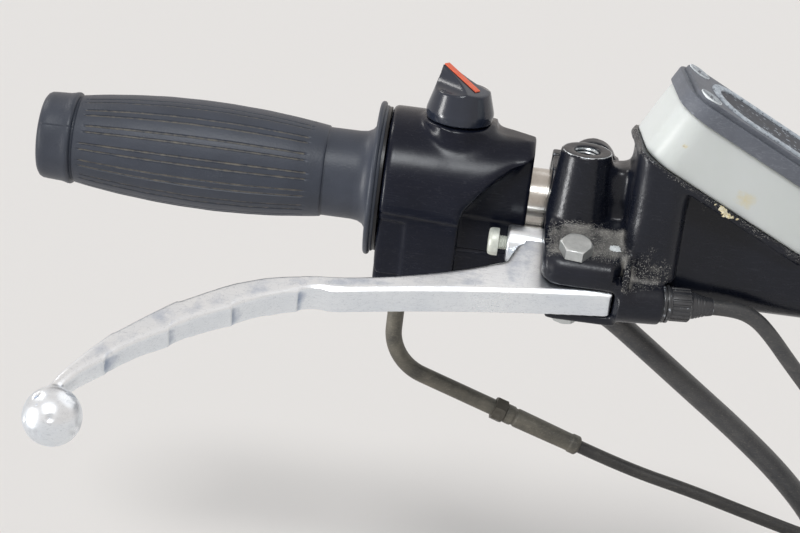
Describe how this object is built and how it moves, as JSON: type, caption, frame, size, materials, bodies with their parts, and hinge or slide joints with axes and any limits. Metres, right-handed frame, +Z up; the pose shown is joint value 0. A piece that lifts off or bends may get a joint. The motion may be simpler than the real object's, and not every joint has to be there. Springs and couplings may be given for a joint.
{
  "type": "right-hand motorcycle handlebar control group",
  "caption": "Handlebar tube with ribbed twist grip, switch housing with turning stop knob, ball-end brake lever and clamp-on master cylinder with tilted fluid tank.",
  "frame": {"origin": "centre of the handlebar tube's inboard end", "axes": "+X along the tube towards the middle of the vehicle, +Y towards the rider, +Z up with the bar level"},
  "size_m": [0.406, 0.1721, 0.2852],
  "materials": {
    "bar_chrome": "worn chrome, hazy",
    "rubber": "aged, dusty in the grooves",
    "black_plastic": "satin black",
    "gloss_black": "gloss black paint",
    "casting_black": "semi-gloss black paint, gritty and chipped",
    "lever_aluminium": "brushed and dulled",
    "zinc_steel": "dull zinc plate",
    "stripe_orange": "orange-red enamel",
    "tank_translucent": "milky translucent",
    "lid_grey": "faded charcoal, chalky wear",
    "cable_black": "dusty black casing"
  },
  "bodies": {
    "base": {"bar_tube": "bar_chrome", "brake_light_switch": "black_plastic", "cable_elbow": "cable_black", "cable_hexagon": "zinc_steel", "cable_sleeve": "cable_black", "clamp_bolt_lower": "zinc_steel", "clamp_bolt_upper": "zinc_steel", "clamp_cap": "casting_black", "housing_screw_front": "zinc_steel", "housing_screw_rear": "zinc_steel", "lid_screw_front_inner": "zinc_steel", "lid_screw_front_outer": "zinc_steel", "lid_screw_rear_inner": "zinc_steel", "lid_screw_rear_outer": "zinc_steel", "loom_coil": "cable_black", "loom_connector": "black_plastic", "loom_sleeve": "cable_black", "loom_tail": "cable_black", "master_cylinder_body": "casting_black", "piston_boot": "rubber", "pivot_bolt": "zinc_steel", "pivot_nut": "zinc_steel", "reservoir_lid": "lid_grey", "reservoir_tank": "tank_translucent", "switch_housing_lower": "gloss_black", "switch_housing_upper": "gloss_black", "switch_lead": "cable_black", "switch_lead_coil": "cable_black", "switch_lead_connector": "black_plastic", "switch_lead_tail": "cable_black", "throttle_cable": "cable_black", "throttle_cable_coil": "cable_black", "throttle_cable_end": "zinc_steel"},
    "throttle": {"throttle_tube": "black_plastic", "grip_rubber": "rubber"},
    "knob": {"kill_knob": "gloss_black", "knob_stripe": "stripe_orange"},
    "lever": {"brake_lever": "lever_aluminium", "adjuster_screw": "zinc_steel"},
    "piston_body": {"piston": "zinc_steel"}
  },
  "joints": [
    {"name": "throttle_twist", "type": "hinge", "parent": "base", "child": "throttle", "pos_m": [-0.1924, 0, 0], "axis": [-1, 0, 0], "range_deg": [0, 75], "stiffness_Nm_per_rad": 0.2, "springref_deg": -34.38},
    {"name": "kill_knob_turn", "type": "hinge", "parent": "base", "child": "knob", "pos_m": [-0.1057, -0.005, 0.0275], "axis": [0, 0, 1], "range_deg": [-40, 40]},
    {"name": "lever_pivot", "type": "hinge", "parent": "base", "child": "lever", "pos_m": [-0.0608, -0.04288, -0.01468], "axis": [0, 0.2924, -0.9563], "range_deg": [0, 10], "stiffness_Nm_per_rad": 4, "springref_deg": -8.59},
    {"name": "piston_slide", "type": "slide", "parent": "base", "child": "piston_body", "axis": [1, 0, 0], "range_m": [0, 0.0036]}
  ],
  "couplings": [
    {"joint": "piston_slide", "follows": "lever_pivot", "m_per_rad": 0.0193}
  ]
}
